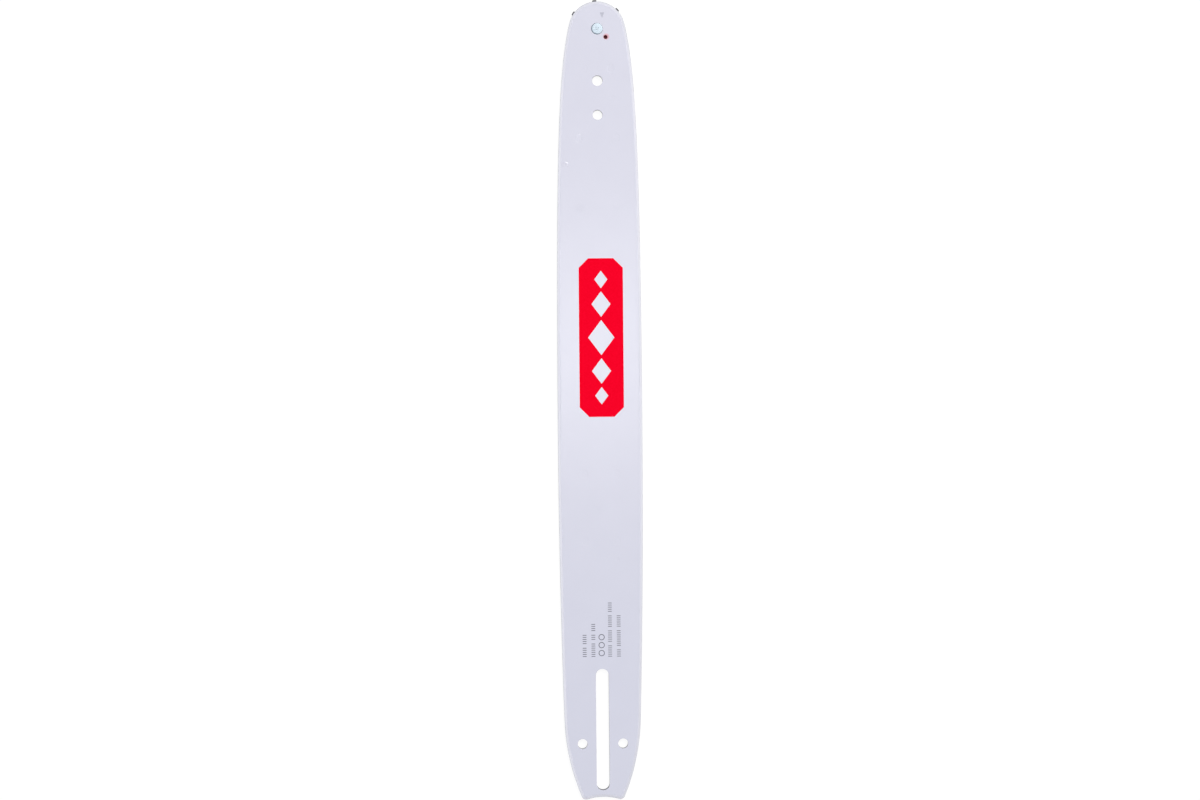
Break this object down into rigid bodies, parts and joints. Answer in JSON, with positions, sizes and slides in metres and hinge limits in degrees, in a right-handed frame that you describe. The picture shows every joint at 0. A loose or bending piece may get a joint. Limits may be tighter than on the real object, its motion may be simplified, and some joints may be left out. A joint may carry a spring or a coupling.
{
  "type": "chainsaw guide bar",
  "caption": "Flat laminated steel bar with a grooved edge, a riveted sprocket nose and a slotted tail, which carries and guides the chain of a chainsaw.",
  "frame": {"origin": "middle of the stud slot, on the back face of the bar", "axes": "+X across the bar, +Y along it to the nose, +Z out of the front face"},
  "size_m": [0.053, 0.5021, 0.0045],
  "materials": {
    "painted_steel": "semi-gloss pale grey paint with bare ground rails",
    "core_steel": "plain rolled steel",
    "sprocket_steel": "dark hardened steel",
    "bearing_steel": "ground bearing steel with a film of grease",
    "rivet_zinc": "bright zinc plate"
  },
  "bodies": {
    "bar": {"front_side_plate": "painted_steel", "back_side_plate": "painted_steel", "core_plate": "core_steel", "bearing_inner_race": "bearing_steel", "nose_rivet": "rivet_zinc"},
    "sprocket": {"nose_sprocket": "sprocket_steel"},
    "rollers": {"bearing_roller_01": "bearing_steel", "bearing_roller_02": "bearing_steel", "bearing_roller_03": "bearing_steel", "bearing_roller_04": "bearing_steel", "bearing_roller_05": "bearing_steel", "bearing_roller_06": "bearing_steel", "bearing_roller_07": "bearing_steel", "bearing_roller_08": "bearing_steel", "bearing_roller_09": "bearing_steel", "bearing_roller_10": "bearing_steel", "bearing_roller_11": "bearing_steel", "bearing_roller_12": "bearing_steel", "bearing_roller_13": "bearing_steel", "bearing_roller_14": "bearing_steel", "bearing_roller_15": "bearing_steel", "bearing_roller_16": "bearing_steel", "bearing_roller_17": "bearing_steel"}
  },
  "joints": [
    {"name": "sprocket_spin", "type": "hinge", "parent": "bar", "child": "sprocket", "pos_m": [0, 0.44, 0.00205], "axis": [0, 0, 1], "continuous": true},
    {"name": "roller_orbit", "type": "hinge", "parent": "bar", "child": "rollers", "pos_m": [0, 0.44, 0.00205], "axis": [0, 0, 1], "continuous": true}
  ],
  "couplings": [
    {"joint": "roller_orbit", "follows": "sprocket_spin", "ratio": 0.58667}
  ]
}
